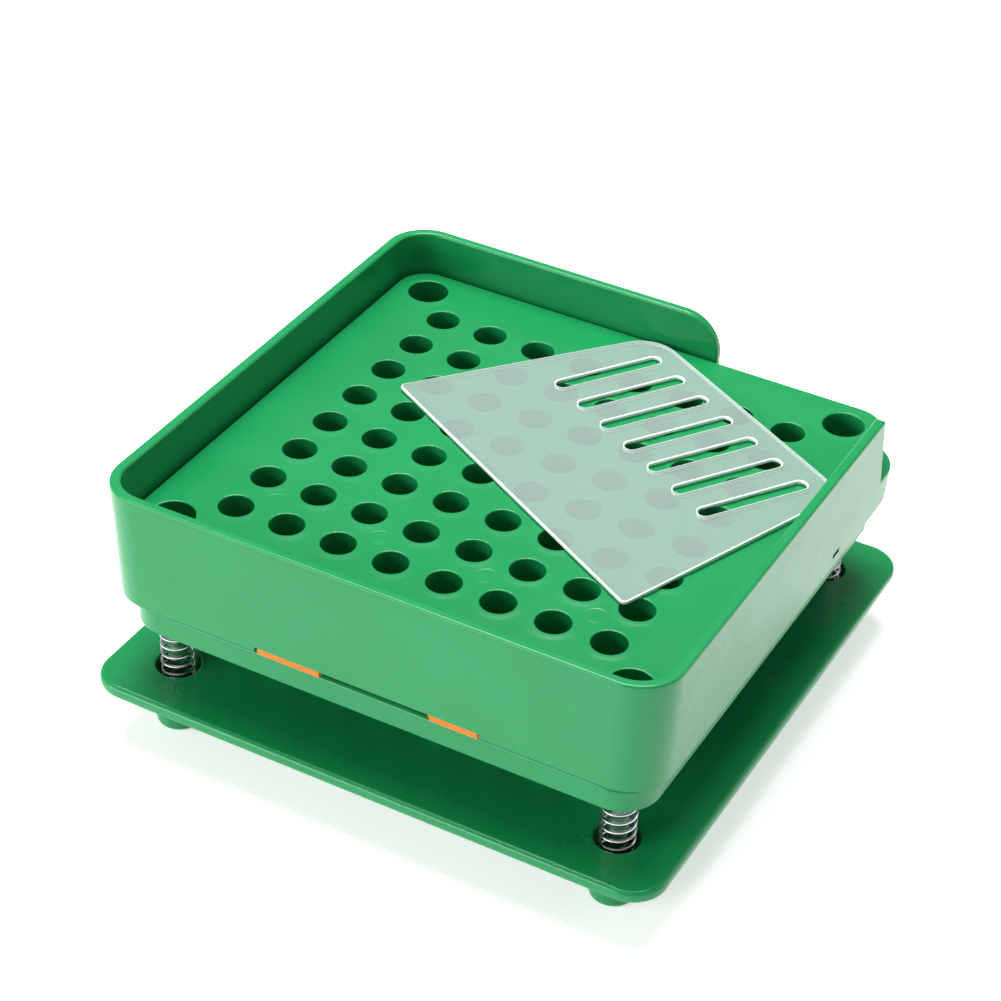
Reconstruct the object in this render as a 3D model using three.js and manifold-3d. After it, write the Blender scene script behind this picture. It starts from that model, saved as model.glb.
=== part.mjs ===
// Capsule filler: a sprung press tray on a base plate.
//
// A square hole plate, wrapped by a lift-off guard frame, holds one capsule body in each hole.
// A lock sheet slides between the hole plate and the lower plate. The whole tray rides on four
// guide posts and springs, and push pins on the base lift the bodies as the tray is pressed.
// Millimetres, +Z up. The origin is on the standing surface, under the middle of the base.

import * as THREE from 'three';
import { mergeVertices } from 'three/addons/utils/BufferGeometryUtils.js';
import Module from 'manifold-3d';

const wasm = await Module();
wasm.setup();

// ---- Driving dimensions -------------------------------------------------------------------

const PITCH = 12.5; // between neighbouring capsule holes
const ROWS = 8;
const GAP = 0.3; // kept between pieces that rest on each other
const CUT = 1; // how far a cutting tool runs past the face it cuts

const FOOT_HEIGHT = 12.4;
const BASE_THICKNESS = 3;
const PRESS_GAP = 13.4; // between the base and the tray at rest
const FLANGE_THICKNESS = 5.6; // of the lower plate, outside its raised middle
const LAND_RISE = 1.8; // of the lower plate's middle, above its flange
const HOLE_PLATE_THICKNESS = 20.1;
const GUARD_RISE = 9.8; // guard wall above the hole plate
const SKIRT_GAP = 2.5; // between the guard's skirt and the lower plate's flange
const LEDGE_DROP = 9.4; // guard wall at the pouring corner, below the hole plate

const BASE_TOP = FOOT_HEIGHT + BASE_THICKNESS;
const LOWER_BOTTOM = BASE_TOP + PRESS_GAP;
const FLANGE_TOP = LOWER_BOTTOM + FLANGE_THICKNESS;
const LOWER_TOP = FLANGE_TOP + LAND_RISE;
const RIM_BOTTOM = FLANGE_TOP + GAP; // of the hole plate
const GUARD_BOTTOM = FLANGE_TOP + SKIRT_GAP;
const PLATE_TOP = RIM_BOTTOM + HOLE_PLATE_THICKNESS;
const GUARD_TOP = PLATE_TOP + GUARD_RISE;

const BASE = { half: 67.5, corner: 8, edge: 1 };
const LOWER = { half: 61.3, corner: 8.8, edge: 0.8 };
const LAND = { half: 58.4, corner: 5.7 }; // the lower plate's raised middle
const HOLE_PLATE = { half: 61.5, corner: 7.5 };
const COLLAR = { half: 62.2, corner: 8.2, bottom: GUARD_BOTTOM - 1.2, height: 2.6 };
const GUARD = { foot: 64.1, rim: 65.2, innerFoot: 61.9, innerRim: 62.8, corner: 10 };
const REBATE = { half: 62.6, corner: 8.6 };

const CAPSULE_HOLE_R = 3.8; // passes a size 0 capsule body
const PIN_R = 1.7;
const PIN_TOP = LOWER_TOP - 1.9;
const PIN_HOLE_R = 2.7;

const POST = { x: 4.25 * PITCH, radius: 2.25, bore: 2.6, root: 2.2 };
const POCKET = { mouth: 4.9, mouthDepth: 3.5, radius: 4.3, floor: 5, upperDepth: 2.5 };
const FOOT = { top: 6.2, bottom: 5.1, round: 1.4 };
const SPRING = { radius: 3.7, wire: 0.3, coils: 9 };
const STOP_BORE_R = 4.7;
const WASHER = { radius: 4.1, hole: 1.9, thickness: 0.8 };
const STOP_SCREW = { head: 3.1, headHeight: 2.2, shank: 1.5, length: 6 };
const CLAMP_SCREW = { x: 54.3, y: 25, head: 2.8, headHeight: 1.6, shank: 1.4, length: 12, boss: 3.7 };
const CLAMP_HOLE_R = CLAMP_SCREW.shank + 0.35;

const DECK_THICKNESS = 2.5; // of the lower plate, between its ribs
const RIM_THICKNESS = 3; // of the lower plate's edge
const CORNER_BLOCK = 46.9; // the lower plate is solid from here to its corners

const SHEET = { half: 50, back: 49, front: 50, thickness: 1.5, corner: 47.9, travel: 1.8 };
const TONGUE = { half: 26, tab: 63.8, recess: 61.8, recessLeft: -11, recessRight: 15, lean: 2 };
const SHEET_HOLE_R = 4.1;
const SHEET_BOTTOM = LOWER_TOP + GAP;
const SHEET_TOP = SHEET_BOTTOM + SHEET.thickness;

const OPEN = { backEnd: 17.75, backRound: 9.5, sideTop: 45.4, sideFoot: 50.6 };
const PRY_SLOT = { y: 26.5, z: 39.9, width: 3.5, height: 1.2 };

const SCRAPER = { length: 91, depth: 63, lean: 9, thickness: 0.9, corner: 8.5, tip: 1.2 };
const SCRAPER_PLACE = { x: -37.8, y: 13.2, turn: -30 };
const SLOT = { count: 7, length: 26.8, width: 3.1, pitch: 9.31, middle: 44.6, skew: -4 };

const SPOKES = { hole: 12, sheet: 8, pinHole: 6, pin: 6, round: 16, corner: 5, wire: 4, turn: 6 };

// ---- Solids -------------------------------------------------------------------------------

/** A manifold solid from a three.js geometry. */
function solid(geometry) {
  const bare = geometry.clone();
  bare.deleteAttribute('normal');
  bare.deleteAttribute('uv');
  const merged = mergeVertices(bare, 1e-4);
  const mesh = new wasm.Mesh({
    numProp: 3,
    vertProperties: new Float32Array(merged.attributes.position.array),
    triVerts: new Uint32Array(merged.index.array),
  });
  return new wasm.Manifold(mesh);
}

/** The three.js geometry of a manifold solid. */
function geometryOf(manifold) {
  const mesh = manifold.getMesh();
  const geometry = new THREE.BufferGeometry();
  geometry.setAttribute('position', new THREE.BufferAttribute(mesh.vertProperties, 3));
  geometry.setIndex(new THREE.BufferAttribute(mesh.triVerts, 1));
  geometry.computeVertexNormals();
  return geometry;
}

/** The points of a regular polygon, its flats square to X and Y. */
function circlePoints(x, y, radius, spokes) {
  const points = [];
  for (let i = 0; i < spokes; i += 1) {
    const angle = ((i + 0.5) / spokes) * 2 * Math.PI;
    points.push(new THREE.Vector2(x + radius * Math.cos(angle), y + radius * Math.sin(angle)));
  }
  return points;
}

/** The points of a square with round corners, anticlockwise. */
function squarePoints(half, corner) {
  const points = [];
  for (let quarter = 0; quarter < 4; quarter += 1) {
    const middle = (quarter + 0.5) * (Math.PI / 2);
    const reach = (half - corner) * Math.SQRT2;
    for (let i = 0; i <= SPOKES.corner; i += 1) {
      const angle = quarter * (Math.PI / 2) + (i / SPOKES.corner) * (Math.PI / 2);
      const x = reach * Math.cos(middle) + corner * Math.cos(angle);
      const y = reach * Math.sin(middle) + corner * Math.sin(angle);
      points.push(new THREE.Vector2(x, y));
    }
  }
  return points;
}

/** A flat outline with holes, stood up from one height to another. */
function slab(outline, holes, bottom, top, edge = 0) {
  const shape = new THREE.Shape(outline);
  for (const hole of holes) {
    shape.holes.push(new THREE.Path(hole));
  }
  const geometry = new THREE.ExtrudeGeometry(shape, {
    depth: top - bottom - 2 * edge,
    bevelEnabled: edge > 0,
    bevelThickness: edge,
    bevelSize: edge,
    bevelOffset: -edge,
    bevelSegments: 2,
  });
  geometry.translate(0, 0, bottom + edge);
  return geometry;
}

/** A box from its lowest and highest corners. */
function block(low, high) {
  const size = high.map((value, i) => value - low[i]);
  const geometry = new THREE.BoxGeometry(...size);
  geometry.translate(...low.map((value, i) => value + size[i] / 2));
  return solid(geometry);
}

/** A turned solid about a vertical axis: profile points are [radius, height]. */
function turned(profile, spokes = SPOKES.round) {
  const points = profile.map(([radius, height]) => new THREE.Vector2(radius, height));
  const geometry = new THREE.LatheGeometry(points, spokes);
  geometry.rotateX(Math.PI / 2);
  return geometry;
}

/** A plain turned cylinder, as a solid for cutting or joining. */
function rod(x, y, radius, bottom, top, spokes = SPOKES.round) {
  return solid(slab(circlePoints(x, y, radius, spokes), [], bottom, top));
}

/** A square block with round corners whose sides lean from one half width to another. */
function leaningBlock(lowHalf, highHalf, corner, bottom, top) {
  const low = squarePoints(lowHalf, corner);
  const high = squarePoints(highHalf, corner);
  const count = low.length;
  const positions = [];
  low.forEach((point) => positions.push(point.x, point.y, bottom));
  high.forEach((point) => positions.push(point.x, point.y, top));
  const faces = [];
  for (let i = 0; i < count; i += 1) {
    const next = (i + 1) % count;
    faces.push(i, next, count + next, i, count + next, count + i);
  }
  for (let i = 1; i < count - 1; i += 1) {
    faces.push(0, i + 1, i);
    faces.push(count, count + i, count + i + 1);
  }
  const geometry = new THREE.BufferGeometry();
  geometry.setAttribute('position', new THREE.Float32BufferAttribute(positions, 3));
  geometry.setIndex(faces);
  return solid(geometry);
}

/** Calls make(x, y) for the centre of each capsule hole and gathers what it returns. */
function overGrid(make) {
  const made = [];
  const first = (-(ROWS - 1) / 2) * PITCH;
  for (let row = 0; row < ROWS; row += 1) {
    for (let column = 0; column < ROWS; column += 1) {
      made.push(make(first + column * PITCH, first + row * PITCH));
    }
  }
  return made;
}

/** The four guide posts' places, anticlockwise from the front left. */
const POST_PLACES = [
  { name: 'front_left', x: -POST.x, y: -POST.x },
  { name: 'front_right', x: POST.x, y: -POST.x },
  { name: 'back_right', x: POST.x, y: POST.x },
  { name: 'back_left', x: -POST.x, y: POST.x },
];

/** The four clamp screws' places. */
const CLAMP_PLACES = [
  { name: 'front_left', x: -CLAMP_SCREW.x, y: -CLAMP_SCREW.y },
  { name: 'front_right', x: CLAMP_SCREW.x, y: -CLAMP_SCREW.y },
  { name: 'back_right', x: CLAMP_SCREW.x, y: CLAMP_SCREW.y },
  { name: 'back_left', x: -CLAMP_SCREW.x, y: CLAMP_SCREW.y },
];

// ---- Materials ----------------------------------------------------------------------------

const GREEN = { color: 0x23a055, roughness: 0.28, metalness: 0 };
const ORANGE = { color: 0xf08a28, roughness: 0.5, metalness: 0 };
const FROSTED = { color: 0xdfeee6, roughness: 0.45, metalness: 0 };
const STEEL = { color: 0xb9bdc0, roughness: 0.2, metalness: 1 };

/** A named mesh with a material of its own. */
function piece(name, geometry, finish) {
  const mesh = new THREE.Mesh(geometry, new THREE.MeshStandardMaterial(finish));
  mesh.name = name;
  return mesh;
}

// ---- Base: plate, feet, push pins ---------------------------------------------------------

/** The base plate with its four hollow feet and the pins that lift the capsule bodies. */
function basePlate() {
  const outline = squarePoints(BASE.half, BASE.corner);
  let body = solid(slab(outline, [], FOOT_HEIGHT, BASE_TOP, BASE.edge));
  for (const place of POST_PLACES) {
    const foot = turned([
      [0, 0],
      [FOOT.bottom - FOOT.round, 0],
      [FOOT.bottom, FOOT.round],
      [FOOT.top, FOOT_HEIGHT + CUT],
      [0, FOOT_HEIGHT + CUT],
    ]);
    body = body.add(solid(foot).translate(place.x, place.y, 0));
    const mouthFloor = BASE_TOP - POCKET.mouthDepth;
    body = body.subtract(rod(place.x, place.y, POCKET.mouth, mouthFloor, BASE_TOP + CUT));
    body = body.subtract(rod(place.x, place.y, POCKET.radius, POCKET.floor, BASE_TOP));
    body = body.subtract(rod(place.x, place.y, POST.bore, POST.root - GAP, BASE_TOP));
  }
  const pins = overGrid((x, y) => rod(x, y, PIN_R, BASE_TOP - CUT, PIN_TOP, SPOKES.pin));
  return piece('base_plate', geometryOf(wasm.Manifold.union([body, ...pins])), GREEN);
}

// ---- Tray: lower plate, hole plate, lock sheet, guard frame -------------------------------

/** The lower plate: a shallow pan, turned over, with a raised middle for the capsule bodies. */
function lowerPlate() {
  const deckBottom = LOWER_TOP - DECK_THICKNESS;
  const inner = LOWER.half - RIM_THICKNESS;
  const outline = squarePoints(LOWER.half, LOWER.corner);
  const flange = slab(outline, [], LOWER_BOTTOM, FLANGE_TOP, LOWER.edge);
  const land = slab(squarePoints(LAND.half, LAND.corner), [], FLANGE_TOP - CUT, LOWER_TOP);
  let hollow = block([-inner, -CORNER_BLOCK, LOWER_BOTTOM - CUT], [inner, CORNER_BLOCK, deckBottom]);
  hollow = hollow.add(
    block([-CORNER_BLOCK, -inner, LOWER_BOTTOM - CUT], [CORNER_BLOCK, inner, deckBottom]),
  );
  let body = solid(flange).add(solid(land)).subtract(hollow);
  const bossFoot = LOWER_BOTTOM + CLAMP_SCREW.headHeight + 2 * GAP;
  for (const { x, y } of CLAMP_PLACES) {
    body = body.add(rod(x, y, CLAMP_SCREW.boss, bossFoot, deckBottom + CUT, SPOKES.hole));
  }
  const drills = [
    ...overGrid((x, y) => circlePoints(x, y, PIN_HOLE_R, SPOKES.pinHole)),
    ...POST_PLACES.map(({ x, y }) => circlePoints(x, y, POST.bore, SPOKES.hole)),
    ...CLAMP_PLACES.map(({ x, y }) => circlePoints(x, y, CLAMP_HOLE_R, SPOKES.pinHole)),
  ].map((points) => solid(slab(points, [], LOWER_BOTTOM - CUT, LOWER_TOP + CUT)));
  const pockets = POST_PLACES.map(({ x, y }) =>
    rod(x, y, POCKET.mouth, LOWER_BOTTOM - CUT, LOWER_BOTTOM + POCKET.upperDepth),
  );
  body = body.subtract(wasm.Manifold.union([...drills, ...pockets]));
  return piece('lower_plate', geometryOf(body), GREEN);
}

/** The room under the hole plate for the lower plate's raised middle and the lock sheet. */
function underPocket() {
  const roof = SHEET_TOP + GAP;
  const room = slab(squarePoints(LAND.half + GAP, LAND.corner + GAP), [], RIM_BOTTOM - CUT, roof);
  const mouth = TONGUE.half + GAP;
  return solid(room).add(block([-mouth, -GUARD.rim, SHEET_BOTTOM - GAP], [mouth, 0, roof]));
}

/** The hole plate: capsule holes on a square grid, with a stop screw's bore at each corner. */
function holePlate() {
  const holes = overGrid((x, y) => circlePoints(x, y, CAPSULE_HOLE_R, SPOKES.hole));
  const bores = POST_PLACES.map(({ x, y }) => circlePoints(x, y, STOP_BORE_R, SPOKES.hole));
  const outline = squarePoints(HOLE_PLATE.half, HOLE_PLATE.corner);
  const collarTop = COLLAR.bottom + COLLAR.height;
  const openings = [...holes, ...bores];
  const collarOutline = squarePoints(COLLAR.half, COLLAR.corner);
  const collar = slab(collarOutline, openings, COLLAR.bottom, collarTop);
  let body = solid(slab(outline, openings, RIM_BOTTOM, PLATE_TOP)).add(solid(collar));
  body = body.subtract(underPocket());
  const screwTop = LOWER_BOTTOM + CLAMP_SCREW.headHeight + CLAMP_SCREW.length + 2 * GAP;
  for (const { x, y } of CLAMP_PLACES) {
    body = body.subtract(rod(x, y, CLAMP_HOLE_R, RIM_BOTTOM, screwTop, SPOKES.pinHole));
  }
  return piece('hole_plate', geometryOf(body), GREEN);
}

/** The lock sheet: slides forward a little to grip the capsule bodies. */
function lockSheet() {
  const outline = [
    [-SHEET.corner, SHEET.back],
    [-SHEET.corner, SHEET.corner],
    [-SHEET.half, SHEET.corner],
    [-SHEET.half, SHEET.travel - SHEET.corner],
    [-SHEET.corner, SHEET.travel - SHEET.corner],
    [-SHEET.corner, -SHEET.front],
    [-TONGUE.half, -SHEET.front],
    [-TONGUE.half, -TONGUE.tab],
    [TONGUE.recessLeft, -TONGUE.tab],
    [TONGUE.recessLeft, -TONGUE.recess],
    [TONGUE.recessRight - TONGUE.lean, -TONGUE.recess],
    [TONGUE.recessRight, -TONGUE.tab],
    [TONGUE.half, -TONGUE.tab],
    [TONGUE.half, -SHEET.front],
    [SHEET.corner, -SHEET.front],
    [SHEET.corner, SHEET.travel - SHEET.corner],
    [SHEET.half, SHEET.travel - SHEET.corner],
    [SHEET.half, SHEET.corner],
    [SHEET.corner, SHEET.corner],
    [SHEET.corner, SHEET.back],
  ].map(([x, y]) => new THREE.Vector2(x, y));
  const holes = overGrid((x, y) => circlePoints(x, y, SHEET_HOLE_R, SPOKES.sheet));
  const geometry = slab(outline, holes, SHEET_BOTTOM, SHEET_TOP);
  return piece('lock_sheet', geometryOf(solid(geometry)), ORANGE);
}

/** What is cut from the guard at the back right, where the powder is poured out. */
function pouringCut() {
  const ledge = PLATE_TOP - LEDGE_DROP;
  const reach = GUARD.rim + CUT;
  const above = GUARD_TOP + CUT;
  const back = new THREE.Shape();
  back.moveTo(OPEN.backEnd, ledge);
  back.lineTo(OPEN.backEnd, GUARD_TOP - OPEN.backRound);
  const roundX = OPEN.backEnd - OPEN.backRound;
  back.absarc(roundX, GUARD_TOP - OPEN.backRound, OPEN.backRound, 0, Math.PI / 2, false);
  back.lineTo(roundX, above);
  back.lineTo(reach, above);
  back.lineTo(reach, ledge);
  const backTool = new THREE.ExtrudeGeometry(back, {
    depth: reach - OPEN.sideFoot,
    bevelEnabled: false,
    curveSegments: SPOKES.corner,
  });
  backTool.rotateX(Math.PI / 2);
  backTool.translate(0, reach, 0);
  const side = [
    [OPEN.sideFoot, ledge],
    [reach, ledge],
    [reach, above],
    [OPEN.sideTop, above],
    [OPEN.sideTop, GUARD_TOP],
  ].map(([y, z]) => new THREE.Vector2(y, z));
  const sideTool = new THREE.ExtrudeGeometry(new THREE.Shape(side), {
    depth: reach - HOLE_PLATE.half + CUT,
    bevelEnabled: false,
  });
  sideTool.rotateX(Math.PI / 2);
  sideTool.rotateZ(Math.PI / 2);
  sideTool.translate(HOLE_PLATE.half - CUT, 0, 0);
  return solid(backTool).add(solid(sideTool));
}

/** The guard frame: a wall round the tray, cut down at the back right corner. */
function guardFrame() {
  const wall = GUARD.foot - GUARD.innerFoot;
  const lean = (GUARD.innerRim - GUARD.innerFoot) / (GUARD_TOP - GUARD_BOTTOM);
  const core = leaningBlock(
    GUARD.innerFoot - lean * CUT,
    GUARD.innerRim + lean * CUT,
    GUARD.corner - wall,
    GUARD_BOTTOM - CUT,
    GUARD_TOP + CUT,
  );
  const rebateTop = COLLAR.bottom + COLLAR.height + GAP;
  const rebate = slab(squarePoints(REBATE.half, REBATE.corner), [], GUARD_BOTTOM - CUT, rebateTop);
  const mouth = TONGUE.half + GAP;
  const notchTop = SHEET_TOP + GAP;
  const notch = block([-mouth, -GUARD.rim, GUARD_BOTTOM - CUT], [mouth, 0, notchTop]);
  const prySlot = block(
    [0, PRY_SLOT.y - PRY_SLOT.width / 2, PRY_SLOT.z],
    [GUARD.rim, PRY_SLOT.y + PRY_SLOT.width / 2, PRY_SLOT.z + PRY_SLOT.height],
  );
  const body = leaningBlock(GUARD.foot, GUARD.rim, GUARD.corner, GUARD_BOTTOM, GUARD_TOP)
    .subtract(wasm.Manifold.union([core, solid(rebate), pouringCut(), notch, prySlot]));
  return piece('guard_frame', geometryOf(body), GREEN);
}

// ---- Scraper ------------------------------------------------------------------------------

/** A polygon with each corner rounded by its own radius. */
function roundedOutline(corners) {
  const path = new THREE.Path();
  const count = corners.length;
  corners.forEach(({ at, radius }, i) => {
    const before = corners[(i + count - 1) % count].at;
    const after = corners[(i + 1) % count].at;
    const toBefore = before.clone().sub(at).normalize();
    const toAfter = after.clone().sub(at).normalize();
    const half = Math.acos(toBefore.dot(toAfter)) / 2;
    const setback = radius / Math.tan(half);
    const start = at.clone().addScaledVector(toBefore, setback);
    const end = at.clone().addScaledVector(toAfter, setback);
    if (i === 0) {
      path.moveTo(start.x, start.y);
    } else {
      path.lineTo(start.x, start.y);
    }
    path.quadraticCurveTo(at.x, at.y, end.x, end.y);
  });
  path.closePath();
  const points = path.getPoints(SPOKES.corner);
  points.pop();
  return points;
}

/** The points of one slot with round ends, turned by an angle about its middle. */
function slotPoints(x, y, angle) {
  const half = (SLOT.length - SLOT.width) / 2;
  const points = [];
  for (const end of [1, -1]) {
    for (let i = 0; i <= SPOKES.corner; i += 1) {
      const sweep = angle + ((i / SPOKES.corner) * 2 - 1) * (Math.PI / 2) + (end < 0 ? Math.PI : 0);
      const px = x + end * half * Math.cos(angle) + (SLOT.width / 2) * Math.cos(sweep);
      const py = y + end * half * Math.sin(angle) + (SLOT.width / 2) * Math.sin(sweep);
      points.push(new THREE.Vector2(px, py));
    }
  }
  return points;
}

/** The powder scraper: a slotted trapezium that lies on the hole plate. */
function scraper() {
  const inset = SCRAPER.depth * Math.tan(THREE.MathUtils.degToRad(SCRAPER.lean));
  const outline = roundedOutline([
    { at: new THREE.Vector2(0, 0), radius: SCRAPER.tip },
    { at: new THREE.Vector2(SCRAPER.length, 0), radius: SCRAPER.tip },
    { at: new THREE.Vector2(SCRAPER.length - inset, SCRAPER.depth), radius: SCRAPER.corner },
    { at: new THREE.Vector2(inset, SCRAPER.depth), radius: SCRAPER.corner },
  ]);
  const slots = [];
  const angle = THREE.MathUtils.degToRad(90 + SLOT.skew);
  for (let i = 0; i < SLOT.count; i += 1) {
    const along = SCRAPER.length / 2 + (i - (SLOT.count - 1) / 2) * SLOT.pitch;
    slots.push(slotPoints(along, SLOT.middle, angle));
  }
  const mesh = piece('scraper', slab(outline, slots, 0, SCRAPER.thickness), FROSTED);
  mesh.rotation.z = THREE.MathUtils.degToRad(SCRAPER_PLACE.turn);
  mesh.position.set(SCRAPER_PLACE.x, SCRAPER_PLACE.y, PLATE_TOP + GAP);
  return mesh;
}

// ---- Posts, springs and screws ------------------------------------------------------------

/** A smooth steel guide post, pressed into a foot and tapped at the top. */
function guidePost({ name, x, y }) {
  const shoulder = LOWER_TOP;
  const tapped = STOP_SCREW.shank + GAP;
  const tappedFloor = shoulder - STOP_SCREW.length - GAP;
  const geometry = turned(
    [
      [0, POST.root],
      [POST.radius, POST.root],
      [POST.radius, shoulder],
      [tapped, shoulder],
      [tapped, tappedFloor],
      [0, tappedFloor],
    ],
    SPOKES.hole,
  );
  const mesh = piece(`guide_post_${name}`, geometry, STEEL);
  mesh.position.set(x, y, 0);
  return mesh;
}

/** The washer that stops the tray against the head of its screw. */
function stopWasher({ name, x, y }) {
  const bottom = LOWER_TOP + GAP;
  const top = bottom + WASHER.thickness;
  const geometry = turned([
    [WASHER.hole, bottom],
    [WASHER.radius, bottom],
    [WASHER.radius, top],
    [WASHER.hole, top],
    [WASHER.hole, bottom],
  ]);
  const mesh = piece(`stop_washer_${name}`, geometry, STEEL);
  mesh.position.set(x, y, 0);
  return mesh;
}

/** The profile of a pan head screw with its head's underside at height zero. */
function screwProfile({ head, headHeight, shank, length }) {
  return [
    [0, -length],
    [shank, -length],
    [shank, 0],
    [head, 0],
    [head, headHeight * 0.6],
    [head * 0.72, headHeight],
    [0, headHeight],
  ];
}

/** A pan head screw with a hexagon socket. */
function screwGeometry(size) {
  const socket = rod(0, 0, size.head * 0.42, size.headHeight * 0.4, size.headHeight + CUT, 6);
  return geometryOf(solid(turned(screwProfile(size), SPOKES.hole)).subtract(socket));
}

/** The screw in the top of a guide post. */
function stopScrew({ name, x, y }) {
  const mesh = piece(`stop_screw_${name}`, screwGeometry(STOP_SCREW), STEEL);
  mesh.position.set(x, y, LOWER_TOP + 2 * GAP + WASHER.thickness);
  return mesh;
}

/** A screw, head down, that holds the lower plate to the hole plate. */
function clampScrew({ name, x, y }) {
  const mesh = piece(`clamp_screw_${name}`, screwGeometry(CLAMP_SCREW), STEEL);
  mesh.rotation.x = Math.PI;
  mesh.position.set(x, y, LOWER_BOTTOM + CLAMP_SCREW.headHeight + GAP);
  return mesh;
}

/** A helix from one height to another about the vertical axis. */
class Helix extends THREE.Curve {
  constructor(radius, bottom, top, turns) {
    super();
    Object.assign(this, { radius, bottom, top, turns });
  }

  getPoint(t, target = new THREE.Vector3()) {
    const angle = t * this.turns * 2 * Math.PI;
    const height = this.bottom + t * (this.top - this.bottom);
    return target.set(this.radius * Math.cos(angle), this.radius * Math.sin(angle), height);
  }
}

/** A compression spring round a guide post, from its foot to the lower plate. */
function spring({ name, x, y }) {
  const bottom = POCKET.floor + GAP + SPRING.wire;
  const top = LOWER_BOTTOM + POCKET.upperDepth - GAP - SPRING.wire;
  const section = new THREE.Shape(circlePoints(0, 0, SPRING.wire, SPOKES.wire));
  const geometry = new THREE.ExtrudeGeometry(section, {
    extrudePath: new Helix(SPRING.radius, bottom, top, SPRING.coils),
    steps: SPRING.coils * SPOKES.turn,
    bevelEnabled: false,
  });
  const mesh = piece(`spring_${name}`, geometry, STEEL);
  mesh.position.set(x, y, 0);
  return mesh;
}

// ---- The assembly -------------------------------------------------------------------------

const capsuleFiller = new THREE.Group();
capsuleFiller.add(basePlate(), lowerPlate(), holePlate(), lockSheet(), guardFrame(), scraper());
for (const make of [guidePost, stopWasher, stopScrew, spring]) {
  capsuleFiller.add(...POST_PLACES.map(make));
}
capsuleFiller.add(...CLAMP_PLACES.map(clampScrew));

export default capsuleFiller;
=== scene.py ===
# Capsule filler: the visual model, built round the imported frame.
# Shapes are worked out in millimetres and become metres when a mesh is made.

import math

import bmesh
import bpy
from mathutils import Matrix, Vector
from mathutils.geometry import tessellate_polygon


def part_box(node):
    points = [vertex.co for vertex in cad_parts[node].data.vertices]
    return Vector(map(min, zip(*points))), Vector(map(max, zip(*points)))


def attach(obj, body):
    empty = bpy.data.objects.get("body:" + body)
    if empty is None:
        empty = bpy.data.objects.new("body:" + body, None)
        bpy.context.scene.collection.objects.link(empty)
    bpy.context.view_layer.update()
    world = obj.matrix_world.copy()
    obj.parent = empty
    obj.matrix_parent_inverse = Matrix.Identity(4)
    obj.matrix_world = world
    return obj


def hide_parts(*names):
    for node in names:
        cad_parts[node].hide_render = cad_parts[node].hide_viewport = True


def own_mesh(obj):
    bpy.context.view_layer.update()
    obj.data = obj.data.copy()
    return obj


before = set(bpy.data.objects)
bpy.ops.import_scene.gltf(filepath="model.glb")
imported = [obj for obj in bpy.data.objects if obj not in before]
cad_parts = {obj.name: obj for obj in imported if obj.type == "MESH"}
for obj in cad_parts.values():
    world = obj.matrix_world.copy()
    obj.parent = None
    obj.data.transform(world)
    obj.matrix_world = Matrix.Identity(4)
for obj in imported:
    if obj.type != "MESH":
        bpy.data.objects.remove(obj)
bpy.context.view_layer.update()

MM = 0.001


# ---- Levels and places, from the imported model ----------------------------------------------

def level(node):
    """A CAD node's lowest and highest level, in millimetres."""
    low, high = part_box(node)
    return low.z / MM, high.z / MM


def middle(node):
    """The middle of a CAD node seen from above, in millimetres."""
    low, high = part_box(node)
    return (low.x + high.x) / 2 / MM, (low.y + high.y) / 2 / MM


CORNERS = ("front_left", "front_right", "back_right", "back_left")
LOWER_BOTTOM, LOWER_TOP = level("lower_plate")
RIM_BOTTOM, PLATE_TOP = level("hole_plate")
GUARD_BOTTOM, GUARD_TOP = level("guard_frame")
SHEET_BOTTOM, SHEET_TOP = level("lock_sheet")
SCRAPER_BOTTOM, SCRAPER_TOP = level("scraper")
FOOT_BOTTOM, PIN_TOP = level("base_plate")
POSTS = {corner: middle(f"guide_post_{corner}") for corner in CORNERS}
CLAMPS = {corner: middle(f"clamp_screw_{corner}") for corner in CORNERS}
BASE_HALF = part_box("base_plate")[1].x / MM

PITCH = 12.5  # between neighbouring capsule holes
ROWS = 8
BASE_BOTTOM = 12.4
BASE_TOP = 15.4
FLANGE_TOP = 34.4  # of the lower plate, outside its raised middle
MOUTH_HALF = 26.3  # half the width of the mouth that the lock sheet comes out of
ROOF = SHEET_TOP + 0.3  # of the room that the lock sheet slides in
COLLAR_BOTTOM = GUARD_BOTTOM - 1.2
COLLAR_TOP = COLLAR_BOTTOM + 2.6
LEDGE = PLATE_TOP - 9.4  # the guard's top at the pouring corner

GRID = [
    ((column - (ROWS - 1) / 2) * PITCH, (row - (ROWS - 1) / 2) * PITCH)
    for row in range(ROWS)
    for column in range(ROWS)
]


# ---- Outlines ------------------------------------------------------------------------------

def circle(x, y, radius, spokes=40):
    """The points of a circle, anticlockwise."""
    turns = [2 * math.pi * k / spokes for k in range(spokes)]
    return [(x + radius * math.cos(a), y + radius * math.sin(a)) for a in turns]


def hexagon(x, y, radius, per_side=6):
    """The points of a hexagon with several points on each side, anticlockwise."""
    tips = [(radius * math.cos(math.pi / 3 * k), radius * math.sin(math.pi / 3 * k)) for k in range(6)]
    points = []
    for (ax, ay), (bx, by) in zip(tips, tips[1:] + tips[:1]):
        for k in range(per_side):
            t = k / per_side
            points.append((x + ax + (bx - ax) * t, y + ay + (by - ay) * t))
    return points


def square(half, corner, steps=14):
    """The points of a square with round corners, anticlockwise."""
    points = []
    reach = half - corner
    for quarter in range(4):
        start = quarter * math.pi / 2
        side = start + math.pi / 4
        x = reach * math.sqrt(2) * math.cos(side)
        y = reach * math.sqrt(2) * math.sin(side)
        for k in range(steps + 1):
            a = start + k / steps * math.pi / 2
            points.append((x + corner * math.cos(a), y + corner * math.sin(a)))
    return points


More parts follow.
